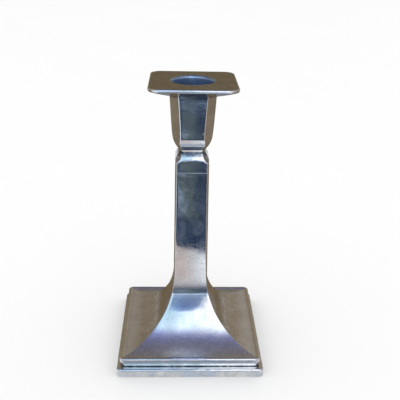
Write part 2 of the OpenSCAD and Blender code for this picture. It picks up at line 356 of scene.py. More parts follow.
def make_socket():
    """The octagonal cup, with the nozzle's bore, the well for the rod's nut and the rod's hole."""
    # The levels are closer together up to the top of the bulge
    bulge_top, low_steps, high_steps = 133.0, 40, 20
    levels = [NECK_Z + (bulge_top - NECK_Z) * k / low_steps for k in range(low_steps + 1)]
    levels += [bulge_top + (SOCKET_TOP - bulge_top) * k / high_steps for k in range(1, high_steps + 1)]
    rings = []
    for z in levels:
        half, facet = smooth_lookup(SOCKET_HALF, z), smooth_lookup(SOCKET_FACET, z)
        rings.append((z, facet_ring(half, facet, radius=0.9, arc_steps=4)))
    like = rings[-1][1]
    chamfer = 0.25
    bore_floor = SLEEVE_END - 1.6
    for r, z in (
        (BORE_R + chamfer, SOCKET_TOP), (BORE_R, SOCKET_TOP - chamfer), (BORE_R, bore_floor),
        (WELL_R, bore_floor), (WELL_R, WELL_FLOOR), (ROD_HOLE, WELL_FLOOR), (ROD_HOLE, NECK_Z),
    ):
        rings.append((z, circle_ring(like, r)))
    return torus_of_rings("socket", rings, smooth_angle=38)


def make_shoulder():
    """The rounded cap of the stem, with a fine chamfer at the seam and its corners drawn down."""
    steps, arc_steps = 36, 3
    droop, droop_reach = 0.65, 7.6
    chamfer_end = SEAM_Z + 0.2
    roof_z, inner_round_z = NECK_Z - 1.2, 118.5
    levels = [SEAM_Z + above for above in (0, 0.05, 0.07, 0.16, 1.5, 3, 4.5)]
    levels += [SHOULDER_ROUND_Z + (NECK_Z - SHOULDER_ROUND_Z) * k / steps for k in range(steps + 1)]
    rings = []
    for z in levels:
        half = smooth_lookup(SHOULDER_HALF, z) if z > chamfer_end else lookup(SHOULDER_HALF, z)
        rings.append((z, facet_ring(half, smooth_lookup(SHOULDER_FACET, z), 0.5, arc_steps)))
    like = rings[-1][1]
    rings.append((NECK_Z, circle_ring(like, ROD_HOLE)))
    rings.append((roof_z, circle_ring(like, ROD_HOLE)))
    for z, half, facet, radius in (
        (roof_z, 6.9, 2.0, 0.5),
        (inner_round_z, 8.2, 1.9, 0.5),
        (SEAM_Z, SHOULDER_LOW_HALF - SKIN, 0.95, 0.4),
    ):
        rings.append((z, facet_ring(half, facet, radius, arc_steps)))
    shoulder = torus_of_rings("shoulder", rings, smooth_angle=38)
    for v in shoulder.data.vertices:
        x, y, z = v.co / MM
        cornered = min(1.0, min(abs(x), abs(y)) / droop_reach) ** 3
        share = lookup([(SHOULDER_ROUND_Z, 0), (117.6, 1), (119.8, 1), (NECK_Z - 0.4, 0)], z)
        v.co.z -= droop * cornered * share * MM
    return shoulder


# ---------------------------------------------------------------- stem panels
STEM_FACET = [(30.0, 0.25), (42.0, 0.32), (49.0, 0.75), (80.0, 0.85), (SEAM_Z, 0.95)]


def stem_profile():
    """Levels from the lip up to the seam: (z, half width)."""
    sweep_steps, stem_steps = 44, 22
    first = math.acos((SWEEP_CENTRE - PANEL_EDGE) / SWEEP_A)
    levels = []
    for k in range(sweep_steps + 1):
        a = first * (1 - k / sweep_steps)
        levels.append((SWEEP_TOP - SWEEP_B * math.sin(a), SWEEP_CENTRE - SWEEP_A * math.cos(a)))
    taper = [(SWEEP_TOP, STEM_LOW_HALF), (STEM_TOP_Z, STEM_TOP_HALF)]
    for k in range(1, stem_steps):
        z = SWEEP_TOP + (SEAM_Z - SWEEP_TOP) * k / stem_steps
        levels.append((z, lookup(taper, z)))
    for below, back in ((0.16, 0), (0.07, 0), (0.05, 0.01), (0, 0.06)):
        levels.append((SEAM_Z - below, lookup(taper, SEAM_Z) - back))
    return levels


def panel_line(half, facet):
    """The front panel's plan at one level, from mitre to mitre, with its two edges rounded."""
    arc_steps, flat_steps, edge_round = 3, 22, 0.45
    mitre, corner = half - facet / 2, half - facet
    corners = [(-mitre, -mitre), (-corner, -half), (corner, -half), (mitre, -mitre)]
    line = fillet(corners, [0, edge_round, edge_round, 0], arc_steps, closed=False)
    left, right = line[:2 + arc_steps], line[2 + arc_steps:]
    return left + between(left[-1], right[0], flat_steps) + right


def make_panel(name, turn, seed):
    """One of the four skins, mitred to its neighbours along the corners."""
    levels = stem_profile()
    outer, inner = [], []
    for i, (z, half) in enumerate(levels):
        z_before, half_before = levels[max(i - 1, 0)]
        z_after, half_after = levels[min(i + 1, len(levels) - 1)]
        along = Vector((half_after - half_before, z_after - z_before)).normalized()
        out_half, out_z = along.y, -along.x
        # The ripple fades out at the ends and edges, and is calmer on the upper sweep
        ends = min(1.0, i / 5, (len(levels) - 1 - i) / 3)
        calm = lookup([(22, 1), (28, 0.3), (46, 0.3), (54, 1)], z)
        inner_share = (half - SKIN * out_half) / half
        outer_row, inner_row = [], []
        for x, y in panel_line(half, lookup(STEM_FACET, z)):
            across = min(1.0, (half - abs(x)) / (0.35 * half))
            push = across * ends * calm * ripple((x + seed * 53, z, 0), height=0.075, wave=17)
            outer_row.append((x, y - push * out_half, z + push * out_z))
            inner_row.append((x * inner_share, y * inner_share, z - SKIN * out_z))
        outer.append(outer_row)
        inner.append(inner_row)
    rows, columns = len(outer), len(outer[0])
    verts = [point for row in outer + inner for point in row]
    low = rows * columns
    faces = []
    for i in range(rows - 1):
        for j in range(columns - 1):
            a, b = i * columns + j, (i + 1) * columns + j
            faces.append((a, a + 1, b + 1, b))
            faces.append((low + a, low + b, low + b + 1, low + a + 1))
        for j, flip in ((0, True), (columns - 1, False)):
            a, b = i * columns + j, (i + 1) * columns + j
            faces.append((a, b, low + b, low + a) if flip else (a, low + a, low + b, b))
    for i in (0, rows - 1):
        for j in range(columns - 1):
            a = i * columns + j
            faces.append((a, low + a, low + a + 1, a + 1))
    panel = mesh_object(name, verts, faces, smooth_angle=50)
    panel.data.transform(Matrix.Rotation(math.radians(turn), 4, "Z"))
    return panel


# ---------------------------------------------------------------- foot
def make_lip():
    """The square frame around the sweep's edge, with a groove under its lip."""
    half = LIP_HALF
    groove, groove_top = half - 1.1, FOOT_H + 2.6
    lip_low, lip_flat = FOOT_H + 2.9, half - 1.5
    inner_top = 10.56
    corner = 2.9
    outline = fillet(
        [
            (LEDGE, FOOT_H), (groove, FOOT_H), (groove, groove_top), (half, lip_low), (half, LIP_TOP),
            (lip_flat, LIP_TOP), (PANEL_EDGE, inner_top), (PANEL_EDGE, LEDGE_TOP), (LEDGE, LEDGE_TOP),
        ],
        [0.05, 0.45, 0.4, 0.35, 1.45, 0.5, 0.05, 0.05, 0.05],
        arc_steps=6,
    )
    rings = []
    for w, z in outline:
        rings.append((z, square_ring(w, max(corner - (half - w), 0.6), arc_steps=6, flat_steps=28)))
    lip = torus_of_rings("lip", rings, smooth_angle=42)
    wear_edge(lip, groove - 0.2, 0, TOTAL_H, stretch=0.5, height=0.05, wave=9)
    return lip


def make_foot():
    """The square step that stands on the table, open below for the closing plate."""
    half = FOOT_HALF
    recess, recess_top = half - 1.55, 1.9
    corner = 2.4
    outline = fillet(
        [
            (recess, 0), (half, 0), (half, FOOT_H), (LEDGE, FOOT_H), (LEDGE, recess_top),
            (recess, recess_top),
        ],
        [0.2, 0.45, 0.95, 0.05, 0.05, 0.05],
        arc_steps=6,
    )
    rings = []
    for w, z in outline:
        rings.append((z, square_ring(w, max(corner - (half - w), 0.5), arc_steps=6, flat_steps=40)))
    foot = torus_of_rings("foot", rings, smooth_angle=42)
    wear_edge(foot, half - 0.5, 0.9, FOOT_H - 0.1, stretch=0.6, height=0.16, wave=11)
    return foot


# ---------------------------------------------------------------- node helpers
def new_material(name):
    mat = bpy.data.materials.new(name)
    mat.use_nodes = True
    tree = mat.node_tree
    tree.nodes.clear()
    output = tree.nodes.new("ShaderNodeOutputMaterial")
    bsdf = tree.nodes.new("ShaderNodeBsdfPrincipled")
    tree.links.new(bsdf.outputs[0], output.inputs[0])
    return mat, tree, bsdf


def mapping(tree, scale, rotation=(0, 0, 0)):
    """Object coordinates in mm, scaled along each axis."""
    coords = tree.nodes.new("ShaderNodeTexCoord")
    node = tree.nodes.new("ShaderNodeMapping")
    node.inputs["Scale"].default_value = [s / MM for s in scale]
    node.inputs["Rotation"].default_value = rotation
    tree.links.new(coords.outputs["Object"], node.inputs["Vector"])
    return node.outputs[0]


def noise_value(tree, vector, scale, detail, rough, distortion=0.0):
    """Noise from 0 to 1. A scale of 1 gives features about 1 mm wide where the vector is in mm."""
    node = tree.nodes.new("ShaderNodeTexNoise")
    node.inputs["Scale"].default_value = scale
    node.inputs["Detail"].default_value = detail
    node.inputs["Roughness"].default_value = rough
    node.inputs["Distortion"].default_value = distortion
    tree.links.new(vector, node.inputs["Vector"])
    return node.outputs["Fac"]


def ramp(tree, value, stops):
    """A colour ramp over (position, grey or colour) stops."""
    node = tree.nodes.new("ShaderNodeValToRGB")
    elements = node.color_ramp.elements
    while len(elements) < len(stops):
        elements.new(0.5)
    for element, (position, colour) in zip(elements, stops):
        element.position = position
        rgb = (colour,) * 3 if isinstance(colour, (int, float)) else colour
        element.color = (*rgb, 1)
    tree.links.new(value, node.inputs[0])
    return node.outputs[0]


def rise(tree, value, low, high):
    """0 below low and 1 above high."""
    return ramp(tree, value, [(low, 0), (high, 1)])


def fall(tree, value, low, high):
    """1 below low and 0 above high."""
    return ramp(tree, value, [(low, 1), (high, 0)])


def band(tree, value, edges, peak=1):
    """peak between the two inner edges, and 0 outside the outer ones."""
    return ramp(tree, value, [(edges[0], 0), (edges[1], peak), (edges[2], peak), (edges[3], 0)])


def math_node(tree, operation, *values):
    """A Math node on one to three values, each a number or another node's output."""
    node = tree.nodes.new("ShaderNodeMath")
    node.operation = operation
    for socket, value in zip(node.inputs, values):
        if isinstance(value, (int, float)):
            socket.default_value = value
        else:
            tree.links.new(value, socket)
    return node.outputs[0]


def add(tree, a, b):
    return math_node(tree, "ADD", a, b)


def subtract(tree, a, b):
    return math_node(tree, "SUBTRACT", a, b)


def multiply(tree, a, b):
    return math_node(tree, "MULTIPLY", a, b)


def larger(tree, a, b):
    return math_node(tree, "MAXIMUM", a, b)


def absolute(tree, value):
    return math_node(tree, "ABSOLUTE", value)


def mix_colour(tree, factor, a, b, blend="MIX"):
    node = tree.nodes.new("ShaderNodeMix")
    node.data_type = "RGBA"
    node.blend_type = blend
    for socket, value in ((node.inputs["Factor"], factor), (node.inputs[6], a), (node.inputs[7], b)):
        if isinstance(value, (int, float)):
            socket.default_value = value
        elif isinstance(value, tuple):
            socket.default_value = (*value, 1)
        else:
            tree.links.new(value, socket)
    return node.outputs[2]


def bump(tree, height, distance, normal=None):
    """Bumps of a height in mm, on top of an earlier bump if there is one."""
    node = tree.nodes.new("ShaderNodeBump")
    node.inputs["Distance"].default_value = distance * MM
    tree.links.new(height, node.inputs["Height"])
    if normal is not None:
        tree.links.new(normal, node.inputs["Normal"])
    return node.outputs[0]


def coordinates(tree, kind):
    """X, Y and Z of an object's position ("Object"), its normal ("Normal") or the sky ("Generated")."""
    coords = tree.nodes.new("ShaderNodeTexCoord")
    split = tree.nodes.new("ShaderNodeSeparateXYZ")
    tree.links.new(coords.outputs[kind], split.inputs[0])
    return split.outputs


# ---------------------------------------------------------------- silver
BRIGHT = (0.88, 0.88, 0.89)
WORN = (0.72, 0.71, 0.70)
# Browns for tarnished metal and for a painted reflection of the brown room, used on sides and flat tops
TARNISH_AND_REFLECTION_BROWNS = [(0.33, (0.34, 0.25, 0.15)), (0.48, (0.50, 0.41, 0.29)), (0.64, (0.74, 0.67, 0.56))]
# Painted shade on surfaces that look down
UNDERSIDE_SHADE = (0.24, 0.21, 0.18)
# Painted shade in bands: creases, under the pan, the foot's groove and low on the sweep's front
PAINTED_SHADE = (0.10, 0.12, 0.16)
PITTED = (0.12, 0.11, 0.12)


def sideways(tree, uneven):
    """The surfaces that look left or right, in blotches."""
    normal = coordinates(tree, "Normal")
    side = subtract(tree, absolute(tree, normal[0]), absolute(tree, normal[1]))
    return multiply(tree, rise(tree, side, 0.18, 0.42), uneven)


def flat_top(tree, uneven):
    """The surfaces that look straight up, in blotches."""
    nz = coordinates(tree, "Normal")[2]
    return multiply(tree, rise(tree, nz, 0.93, 0.99), uneven)


def underside(tree):
    """The surfaces that look down, which get painted shade."""
    nz = coordinates(tree, "Normal")[2]
    return ramp(tree, multiply(tree, nz, -1.0), [(0.45, 0), (0.85, 0.75)])


def painted_shade_bands(tree, colour, shade_bands, grain, mottle, sheltered, fronts):
    """Patchy painted shade around each band's level, full up to 0.3 of its reach and gone at its reach."""
    px, py, pz = coordinates(tree, "Object")
    wander = multiply(tree, subtract(tree, grain, 0.5), 0.6 * MM)
    height = add(tree, pz, wander)
    patchy = ramp(tree, mottle, [(0.42, 1), (0.60, 0.45)])
    ramp_per_mm = 0.1
    for level, reach, darkness in shade_bands:
        away = absolute(tree, subtract(tree, height, level * MM))
        away = multiply(tree, away, ramp_per_mm / MM)
        shade_share = ramp(tree, away, [(0.3 * reach * ramp_per_mm, darkness), (reach * ramp_per_mm, 0)])
        shade_share = multiply(tree, shade_share, patchy)
        if sheltered:
            from_axis = larger(tree, absolute(tree, px), absolute(tree, py))
            beyond = subtract(tree, from_axis, sheltered * MM)
            shade_share = multiply(tree, shade_share, math_node(tree, "LESS_THAN", beyond, 0.0))
        if fronts:
            front_or_back = math_node(tree, "LESS_THAN", absolute(tree, px), absolute(tree, py))
            shade_share = multiply(tree, shade_share, front_or_back)
        colour = mix_colour(tree, shade_share, colour, PAINTED_SHADE)
    return colour


def fine_scratches(tree):
    """Upright and level scratches, where a stretched noise passes its middle value."""
    upright = noise_value(tree, mapping(tree, (2.6, 2.6, 0.10), (0.05, 0.03, 0.1)), 1, 3, 0.5)
    level = noise_value(tree, mapping(tree, (0.12, 2.2, 2.2), (0.3, 0.5, 0.7)), 1, 3, 0.5)
    lines = [(0.49, 0), (0.5, 1), (0.51, 0)]
    return larger(tree, ramp(tree, upright, lines), ramp(tree, level, lines))


def fine_pits(tree, vector):
    """Small round pits, far apart."""
    pits = tree.nodes.new("ShaderNodeTexVoronoi")
    pits.inputs["Scale"].default_value = 0.16
    tree.links.new(vector, pits.inputs["Vector"])
    return fall(tree, pits.outputs["Distance"], 0.035, 0.06)


def silver(
    name, roughness, side_tarnish_and_reflection, top_tarnish_and_reflection, dents, bright=BRIGHT, worn=WORN,
    satin=(), shade_bands=(), sheltered=0.0, fronts=False, calm=1.0,
):
    """Worn polished silver: patina in blotches, brown of tarnished metal and of painted reflection, painted
    shade, fine scratches, pits and dents.

    side_tarnish_and_reflection and top_tarnish_and_reflection are the shares of brown, partly tarnished
    metal and partly painted reflection, on the left and right sides and on flat tops.
    dents is the dents' depth in mm. bright and worn are the metal's own colours.
    satin lists (height, extra roughness). shade_bands lists (height, reach, darkness) of bands of painted
    shade, which stay within sheltered of the axis, and on the front and back alone with fronts.
    calm is the share of the scratches and dents that the upper sweep keeps."""
    mat, tree, bsdf = new_material(name)
    fine = mapping(tree, (1, 1, 1))
    blotch = noise_value(tree, fine, 0.11, 6, 0.62)
    grain = noise_value(tree, fine, 1.5, 4, 0.6)
    mottle = noise_value(tree, fine, 0.45, 6, 0.68)
    pz = coordinates(tree, "Object")[2]

    # Colour: patina, brown of tarnished metal and painted reflection, painted shade on undersides, speckle,
    # bands of painted shade and pits. Heights in metres are scaled up before a ramp where its stops would
    # otherwise lie close together
    uneven = ramp(tree, blotch, [(0.32, 0.55), (0.66, 1)])
    side = sideways(tree, uneven)
    tarnish_and_reflection = ramp(tree, mottle, TARNISH_AND_REFLECTION_BROWNS)
    side_share_by_height = ramp(tree, multiply(tree, pz, 5), [(0.12, side_tarnish_and_reflection), (0.28, 0.3 * side_tarnish_and_reflection)])
    colour = mix_colour(tree, ramp(tree, blotch, [(0.38, 0), (0.68, 0.75)]), bright, worn)
    # Sides: brown, partly tarnished metal and partly a painted reflection of the brown room, stronger low
    # down
    colour = mix_colour(tree, multiply(tree, side, side_share_by_height), colour, tarnish_and_reflection)
    if top_tarnish_and_reflection:
        # Flat tops: brown, partly tarnished metal and partly a painted reflection of the brown wall behind
        colour = mix_colour(tree, multiply(tree, flat_top(tree, uneven), top_tarnish_and_reflection), colour, tarnish_and_reflection)
    # Painted shade: surfaces that look down are darker
    colour = mix_colour(tree, underside(tree), colour, UNDERSIDE_SHADE)
    colour = mix_colour(tree, 1.0, colour, ramp(tree, grain, [(0.35, 0.86), (0.62, 1)]), "MULTIPLY")
    # Painted shade in bands along given levels
    if shade_bands:
        colour = painted_shade_bands(tree, colour, shade_bands, grain, mottle, sheltered, fronts)
    pit = fine_pits(tree, fine)
    colour = mix_colour(tree, multiply(tree, pit, 0.6), colour, PITTED)
    tree.links.new(colour, bsdf.inputs["Base Color"])
    bsdf.inputs["Metallic"].default_value = 1.0

    # Roughness: blotches, scratches and the tarnished sides, and the satin levels
    scratch = fine_scratches(tree)
    dent = subtract(tree, noise_value(tree, fine, 0.07, 2, 0.5), 0.5)
    if calm < 1.0:
        eased = ramp(tree, multiply(tree, pz, 10), [(0.20, 1), (0.26, calm), (0.45, calm), (0.54, 1)])
        scratch = multiply(tree, scratch, eased)
        dent = multiply(tree, dent, eased)
    rough = math_node(tree, "MULTIPLY_ADD", blotch, 0.10, roughness - 0.05)
    rough = add(tree, rough, multiply(tree, scratch, 0.05))
    rough = add(tree, rough, multiply(tree, side, 0.10))
    if satin:
        rough = add(tree, rough, ramp(tree, pz, [(z * MM, extra) for z, extra in satin]))
    tree.links.new(rough, bsdf.inputs["Roughness"])

    # Relief: wide shallow dents, grain, scratches and pits
    normal = bump(tree, dent, dents)
    normal = bump(tree, grain, 0.004, normal)
    normal = bump(tree, scratch, -0.003, normal)
    normal = bump(tree, pit, -0.05, normal)
    tree.links.new(normal, bsdf.inputs["Normal"])
    return mat


# ---------------------------------------------------------------- other materials
def iron_material():
    mat, tree, bsdf = new_material("dull_iron")
    mottle = noise_value(tree, mapping(tree, (1, 1, 1)), 0.7, 6, 0.65)
    rust, grey, worn = (0.16, 0.12, 0.09), (0.30, 0.27, 0.24), (0.38, 0.36, 0.33)
    colour = ramp(tree, mottle, [(0.3, rust), (0.5, grey), (0.7, worn)])
    tree.links.new(colour, bsdf.inputs["Base Color"])
    bsdf.inputs["Metallic"].default_value = 0.85
    tree.links.new(ramp(tree, mottle, [(0.3, 0.75), (0.7, 0.42)]), bsdf.inputs["Roughness"])
    tree.links.new(bump(tree, mottle, 0.06), bsdf.inputs["Normal"])
    return mat


def baize_material():
    mat, tree, bsdf = new_material("green_baize")
    fibres = noise_value(tree, mapping(tree, (3, 3, 3)), 2.2, 6, 0.75, 1.5)
    worn = noise_value(tree, mapping(tree, (1, 1, 1)), 0.08, 3, 0.5)
    colour = ramp(tree, fibres, [(0.3, (0.010, 0.045, 0.020)), (0.7, (0.045, 0.15, 0.065))])
    colour = mix_colour(tree, ramp(tree, worn, [(0.45, 0), (0.75, 0.5)]), colour, (0.10, 0.14, 0.08))
    tree.links.new(colour, bsdf.inputs["Base Color"])
    bsdf.inputs["Roughness"].default_value = 0.95
    bsdf.inputs["Sheen Weight"].default_value = 0.6
    tree.links.new(bump(tree, fibres, 0.12), bsdf.inputs["Normal"])
    return mat


def cement_material():
    mat, tree, bsdf = new_material("cement")
    vector = mapping(tree, (1, 1, 1))
    grit = noise_value(tree, vector, 1.4, 8, 0.7)
    patch = noise_value(tree, vector, 0.12, 3, 0.5)
    colour = ramp(tree, grit, [(0.3, (0.36, 0.32, 0.25)), (0.7, (0.62, 0.58, 0.50))])
    colour = mix_colour(tree, ramp(tree, patch, [(0.4, 0), (0.7, 0.4)]), colour, (0.45, 0.42, 0.36))
    tree.links.new(colour, bsdf.inputs["Base Color"])
    bsdf.inputs["Roughness"].default_value = 0.9
    tree.links.new(bump(tree, grit, 0.15), bsdf.inputs["Normal"])
    return mat


# ---------------------------------------------------------------- pieces
# The pan's flat top is brown, partly a painted reflection
nozzle_silver = silver("silver_nozzle", 0.13, side_tarnish_and_reflection=0.25, top_tarnish_and_reflection=0.75, dents=0.15)
# The tube's blues are a painted reflection of a blue room
tube_painted_reflection = silver(
    "silver_tube_painted_reflection", 0.30, side_tarnish_and_reflection=0.0, top_tarnish_and_reflection=0.0, dents=0.15,
    bright=(0.50, 0.64, 0.86), worn=(0.20, 0.31, 0.50),
)
# Painted shade bands: under the pan, in the neck's creases and on the shoulder's top
socket_silver = silver(
    "silver_socket", 0.08, side_tarnish_and_reflection=0.38, top_tarnish_and_reflection=0.0, dents=0.15,
    shade_bands=(
        (154.6, 2.6, 0.75), (123.75, 0.40, 0.55), (NECK_Z - 0.15, 0.60, 0.85), (NECK_Z - 0.95, 1.4, 0.88),
    ),
)
# Painted shade in a band low on the sweep's front and back; the sides' brown is partly a painted reflection
stem_silver = silver(
    "silver_stem", 0.055, side_tarnish_and_reflection=0.75, top_tarnish_and_reflection=0.0, dents=0.12,
    satin=((12.5, 0.32), (16, 0.16), (21, 0.04), (27, 0), (37, 0.01), (41, 0.20), (45, 0.20), (48, 0)),
    shade_bands=((11.2, 5.5, 0.36),), fronts=True, calm=0.25,
)
# Painted shade bands in the groove between the foot and the lip
foot_silver = silver(
    "silver_foot", 0.11, side_tarnish_and_reflection=0.55, top_tarnish_and_reflection=0.0, dents=0.30,
    shade_bands=((5.3, 0.9, 0.85), (7.6, 0.9, 0.8)), sheltered=LIP_HALF - 0.5,
)
iron = iron_material()

BODY, NOZZLE = "candlestick", "nozzle"
sleeve = make_sleeve()
for piece, body, node, slot, material in (
    (make_pan(), NOZZLE, "nozzle_pan", "nozzle_silver", nozzle_silver),
    (sleeve, NOZZLE, "nozzle_sleeve", "nozzle_silver", tube_painted_reflection),
    (make_socket(), BODY, "socket_cup", "socket_silver", socket_silver),
    (make_shoulder(), BODY, "shoulder_cap", "socket_silver", socket_silver),
    (make_panel("stem_front", 0, 1), BODY, "stem_panel_front", "stem_silver", stem_silver),
    (make_panel("stem_right", 90, 2), BODY, "stem_panel_right", "stem_silver", stem_silver),
    (make_panel("stem_back", 180, 3), BODY, "stem_panel_back", "stem_silver", stem_silver),
    (make_panel("stem_left", 270, 4), BODY, "stem_panel_left", "stem_silver", stem_silver),
    (make_lip(), BODY, "lip_moulding", "foot_silver", foot_silver),
    (make_foot(), BODY, "foot_rim", "foot_silver", foot_silver),
):
    piece.data.materials.append(material)
    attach(piece, body)
    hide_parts(node)

# The sleeve is dull with a painted blue reflection inside, and plain silver outside
sleeve.data.materials.append(nozzle_silver)
for face in sleeve.data.polygons:
    x, y, z = face.center / MM
    if z < TOTAL_H - MOUTH_R and math.hypot(x, y) > (CANDLE_R + SLEEVE_R) / 2:
        face.material_index = 1

# The nozzle's floor takes the tube's painted blue reflection
for node, material in (
    ("nozzle_floor", tube_painted_reflection), ("closing_plate", iron), ("tie_rod", iron), ("rod_nuts", iron),
    ("rod_washers", iron), ("baize_pad", baize_material()), ("cement_filling", cement_material()),
):
    for material_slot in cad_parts[node].material_slots:
        material_slot.material = material


# ---------------------------------------------------------------- studio, in metres
def polygon(name, points):
    """One flat face on the stage."""
    mesh = bpy.data.meshes.new(name)
    mesh.from_pydata(points, [], [tuple(range(len(points)))])
    obj = bpy.data.objects.new(name, mesh)
    bpy.context.scene.collection.objects.link(obj)
    return obj


def level_square(name, half, z):
    return polygon(name, [(-half, -half, z), (half, -half, z), (half, half, z), (-half, half, z)])


def glow_material(name):
    mat = bpy.data.materials.new(name)
    mat.use_nodes = True
    tree = mat.node_tree
    tree.nodes.clear()
    output = tree.nodes.new("ShaderNodeOutputMaterial")
    glow = tree.nodes.new("ShaderNodeEmission")
    tree.links.new(glow.outputs[0], output.inputs[0])
    return mat, tree, glow


def only_in_reflections(obj):
    """A studio card that the silver reflects and the camera doesn't see."""
    obj.visible_camera = False
    obj.visible_diffuse = False
    obj.visible_shadow = False
    obj.visible_transmission = False


def make_floor():
    """The pale floor, which reflections don't see."""
    floor = level_square("floor", 8, 0)
    mat, tree, bsdf = new_material("pale_floor")
    shade = noise_value(tree, mapping(tree, (0.004, 0.004, 0.004)), 1, 2, 0.5)
    tree.links.new(ramp(tree, shade, [(0.3, 0.915), (0.7, 0.925)]), bsdf.inputs["Base Color"])
    bsdf.inputs["Roughness"].default_value = 0.9
    floor.data.materials.append(mat)
    floor.visible_glossy = False


# The table card's slate cloth: its dark and its grey colours, by the weave
DARK_CLOTH = [
    (0.36, (0.010, 0.024, 0.062)), (0.47, (0.024, 0.046, 0.092)), (0.55, (0.080, 0.110, 0.175)),
    (0.66, (0.200, 0.245, 0.330)),
]
GREY_CLOTH = [(0.36, (0.060, 0.095, 0.100)), (0.62, (0.26, 0.30, 0.25))]


def front_cloth(tree, ahead, x, dark, grey):
    """The cloth in front: dark, with a narrow grey zone, shade beside it and a light streak."""
    patches = noise_value(tree, mapping(tree, (0.045, 0.013, 0.045), (0, 0, 0.2)), 1, 2, 0.5)
    wobble = add(tree, x, multiply(tree, subtract(tree, patches, 0.5), 0.02))
    wobble = add(tree, wobble, 0.5)
    grey_zone = multiply(
        tree,
        ramp(tree, wobble, [(0.496, 0), (0.500, 1), (0.507, 1), (0.514, 0.1)]),
        ramp(tree, ahead, [(0.185, 0), (0.205, 1), (0.29, 1), (0.315, 0.25), (0.335, 1), (0.42, 0.6)]),
    )
    cloth = mix_colour(tree, multiply(tree, grey_zone, 0.85), dark, grey)
    shade = multiply(
        tree,
        rise(tree, wobble, 0.508, 0.514),
        band(tree, ahead, (0.22, 0.26, 0.42, 0.45), 0.75),
    )
    low_shade = ramp(tree, ahead, [
        (0.150, 0), (0.165, 0.35), (0.18, 0.35), (0.195, 0), (0.222, 0), (0.232, 0.45), (0.25, 0.1),
    ])
    cloth = mix_colour(tree, larger(tree, shade, low_shade), cloth, (0.014, 0.030, 0.075))
    streak = multiply(
        tree,
        band(tree, wobble, (0.490, 0.4925, 0.4945, 0.4975)),
        band(tree, ahead, (0.20, 0.215, 0.285, 0.31), 0.9),
    )
    return mix_colour(tree, streak, cloth, (0.42, 0.55, 0.68))


def front_pale(tree, ahead, x, y, weave, stained):
    """The pale zone at the foot: greyer close by, with a blue-grey strip across it."""
    pale = ramp(tree, x, [
        (0.001, (0.66, 0.60, 0.59)), (0.005, (0.74, 0.77, 0.84)), (0.013, (1.0, 1.06, 1.15)),
    ])
    foot_light = ramp(tree, weave, [
        (0.40, (0.52, 0.60, 0.72)), (0.52, (0.68, 0.68, 0.68)), (0.62, (0.88, 0.93, 1.0)),
    ])
    forward = subtract(tree, multiply(tree, stained, 0.2), y)
    strip = band(tree, multiply(tree, forward, 10), (0.49, 0.50, 0.55, 0.58), 0.85)
    foot_light = mix_colour(tree, strip, foot_light, (0.19, 0.26, 0.38))
    pale = mix_colour(tree, fall(tree, ahead, 0.066, 0.086), pale, foot_light)
    return mix_colour(tree, 1.0, pale, ramp(tree, weave, [(0.3, 1.0), (0.7, 0.86)]), "MULTIPLY")


def side_table(tree, heading):
    """The stained table all round, by heading: brown behind and to the sides, pale in front."""
    brown, pale = (0.20, 0.165, 0.11), (0.85, 0.95, 1.05)
    sides = ramp(tree, heading, [
        (0.00, brown), (0.28, (0.26, 0.215, 0.155)), (0.33, pale), (0.45, pale),
        (0.55, (0.80, 0.74, 0.72)), (0.62, (0.62, 0.52, 0.47)), (0.69, (0.26, 0.21, 0.16)), (1.00, brown),
    ])
    stain = noise_value(tree, mapping(tree, (0.03, 0.012, 0.03)), 1, 4, 0.6)
    stain = ramp(tree, stain, [(0.35, 1.15), (0.5, 0.95), (0.65, 0.60)])
    return mix_colour(tree, 1.0, sides, stain, "MULTIPLY")


def make_table_card():
    """What the silver sees of the table, as a card just below the floor.

    In front: a pale zone, slate cloth, light blue and then white. To the sides: brown.
    Behind: brown with a pale spot, then slate cloth, and a pale zone beyond it."""
    card = level_square("table_card", 3, -0.0005)
    mat, tree, glow = glow_material("table_card")
    x, y = coordinates(tree, "Object")[:2]
    wide = absolute(tree, x)
    weave = noise_value(tree, mapping(tree, (0.085, 0.033, 0.085)), 1, 5, 0.62, 0.4)
    stained = multiply(tree, subtract(tree, weave, 0.5), 0.022)
    ahead = subtract(tree, add(tree, stained, multiply(tree, x, 0.45)), y)
    heading = math_node(tree, "ARCTAN2", x, multiply(tree, y, -1.0))
    heading = math_node(tree, "MULTIPLY_ADD", heading, 0.5 / math.pi, 0.5)
    dark, grey = ramp(tree, weave, DARK_CLOTH), ramp(tree, weave, GREY_CLOTH)

    cloth = front_cloth(tree, ahead, x, dark, grey)
    front = mix_colour(
        tree, rise(tree, ahead, 0.134, 0.144), front_pale(tree, ahead, x, y, weave, stained), cloth
    )
    front = mix_colour(tree, rise(tree, ahead, 0.435, 0.455), front, (0.55, 0.78, 1.05))
    front = mix_colour(tree, rise(tree, ahead, 0.50, 0.60), front, (0.85, 1.0, 1.2))

    sides = side_table(tree, heading)
    in_front = band(tree, heading, (0.43, 0.465, 0.53, 0.57))
    near = multiply(tree, band(tree, ahead, (0.0, 0.03, 0.12, 0.15)), fall(tree, wide, 0.05, 0.09))
    colour = mix_colour(tree, larger(tree, in_front, near), sides, front)

    spot = multiply(tree, fall(tree, wide, 0.045, 0.07), band(tree, y, (0.19, 0.215, 0.26, 0.30)))
    behind = mix_colour(tree, spot, (0.20, 0.16, 0.105), (0.40, 0.44, 0.54))
    colour = mix_colour(tree, rise(tree, y, 0.03, 0.09), colour, behind)

    away = add(tree, larger(tree, wide, y), stained)
    beyond = ramp(tree, weave, [(0.36, (0.95, 0.98, 1.02)), (0.64, (0.70, 0.70, 0.70))])
    far = mix_colour(tree, rise(tree, away, 0.405, 0.43), mix_colour(tree, 0.4, dark, grey), beyond)
    far = mix_colour(tree, rise(tree, subtract(tree, wide, y), 0.0, 0.05), far, sides)
    colour = mix_colour(tree, rise(tree, away, 0.262, 0.285), colour, far)
    tree.links.new(colour, glow.inputs["Color"])
    card.data.materials.append(mat)
    only_in_reflections(card)


